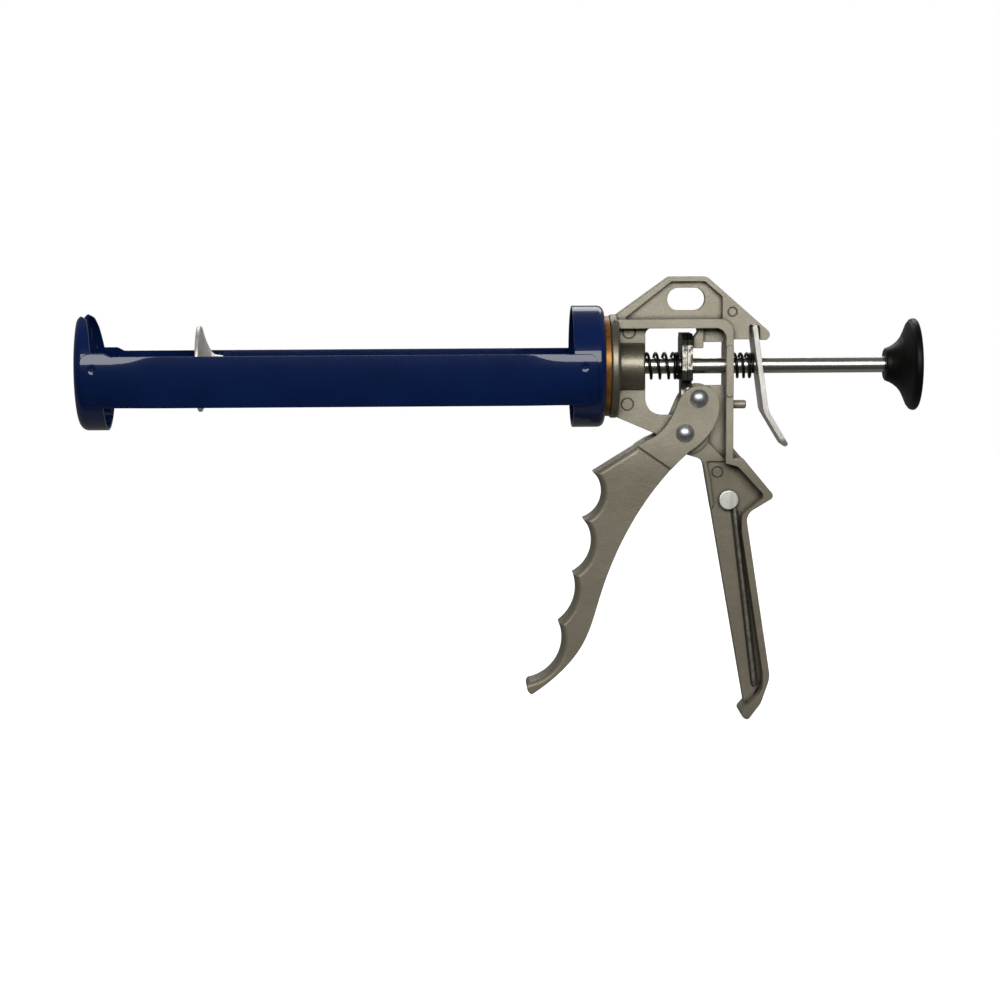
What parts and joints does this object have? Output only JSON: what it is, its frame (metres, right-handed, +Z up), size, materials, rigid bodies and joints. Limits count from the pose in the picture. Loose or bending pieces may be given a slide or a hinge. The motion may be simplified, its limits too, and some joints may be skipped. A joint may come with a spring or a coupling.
{
  "type": "caulking gun",
  "caption": "Skeleton caulking gun with a revolving strap cradle, plunger rod with pull knob, finger-grooved trigger, release lever and cast handle with a puncture wire.",
  "frame": {"origin": "on the push rod's axis, on the inner face of the front plate, where a cartridge's shoulder sits", "axes": "+X along the rod towards the knob, +Y towards the gun's right-hand side, +Z up with the handle hanging down"},
  "size_m": [0.3665, 0.0556, 0.195],
  "materials": {
    "navy_paint": "gloss navy enamel on pressed steel",
    "cast_paint": "satin champagne-grey paint on die-cast aluminium",
    "zinc_steel": "bright zinc plate",
    "rod_steel": "drawn bright steel",
    "plate_steel": "dark phosphated steel with sheared edges",
    "spring_steel": "oil-black spring steel",
    "amber_washer": "dull bronze",
    "black_plastic": "matte moulded"
  },
  "bodies": {
    "frame": {"frame_casting": "cast_paint", "friction_washer": "amber_washer", "thrust_washer": "zinc_steel", "circlip": "spring_steel", "drive_spring": "spring_steel", "release_spring": "spring_steel", "wire_rivet": "zinc_steel"},
    "cradle": {"front_cap": "navy_paint", "rear_cap": "navy_paint", "strap_left": "navy_paint", "strap_right": "navy_paint"},
    "trigger": {"trigger": "cast_paint", "pivot_rivet": "zinc_steel", "pusher_rivet": "zinc_steel", "push_sleeve": "zinc_steel"},
    "grip_plates": {"grip_plate_front": "plate_steel", "grip_plate_rear": "plate_steel"},
    "rod": {"push_rod": "rod_steel", "plunger": "zinc_steel", "plunger_washer": "zinc_steel", "plunger_nut": "zinc_steel", "knob": "black_plastic"},
    "release": {"release_lever": "zinc_steel"},
    "wire": {"puncture_wire": "rod_steel"}
  },
  "joints": [
    {"name": "cradle_spin", "type": "hinge", "parent": "frame", "child": "cradle", "pos_m": [0.2273, 0, 0], "axis": [1, 0, 0], "continuous": true},
    {"name": "trigger_pull", "type": "hinge", "parent": "frame", "child": "trigger", "pos_m": [0.2626, 0, -0.0291], "axis": [0, -1, 0], "range_deg": [0, 30], "stiffness_Nm_per_rad": 0.5, "springref_deg": -28.65, "deforming": ["drive_spring"]},
    {"name": "grip_advance", "type": "slide", "parent": "frame", "child": "grip_plates", "axis": [-1, 0, 0], "range_m": [0, 0.0086]},
    {"name": "rod_slide", "type": "slide", "parent": "frame", "child": "rod", "axis": [1, 0, 0], "range_m": [-0.048, 0.158]},
    {"name": "release_press", "type": "hinge", "parent": "frame", "child": "release", "pos_m": [0.293, 0, 0.0165], "axis": [0, 1, 0], "range_deg": [0, 10.5], "stiffness_Nm_per_rad": 0.3, "springref_deg": -17.19, "deforming": ["release_spring"]},
    {"name": "wire_swing", "type": "hinge", "parent": "frame", "child": "wire", "pos_m": [0.2822, -0.004, -0.0589], "axis": [0, 1, 0], "range_deg": [0, 15]}
  ],
  "couplings": [
    {"joint": "grip_advance", "follows": "trigger_pull", "m_per_rad": 0.0162}
  ]
}
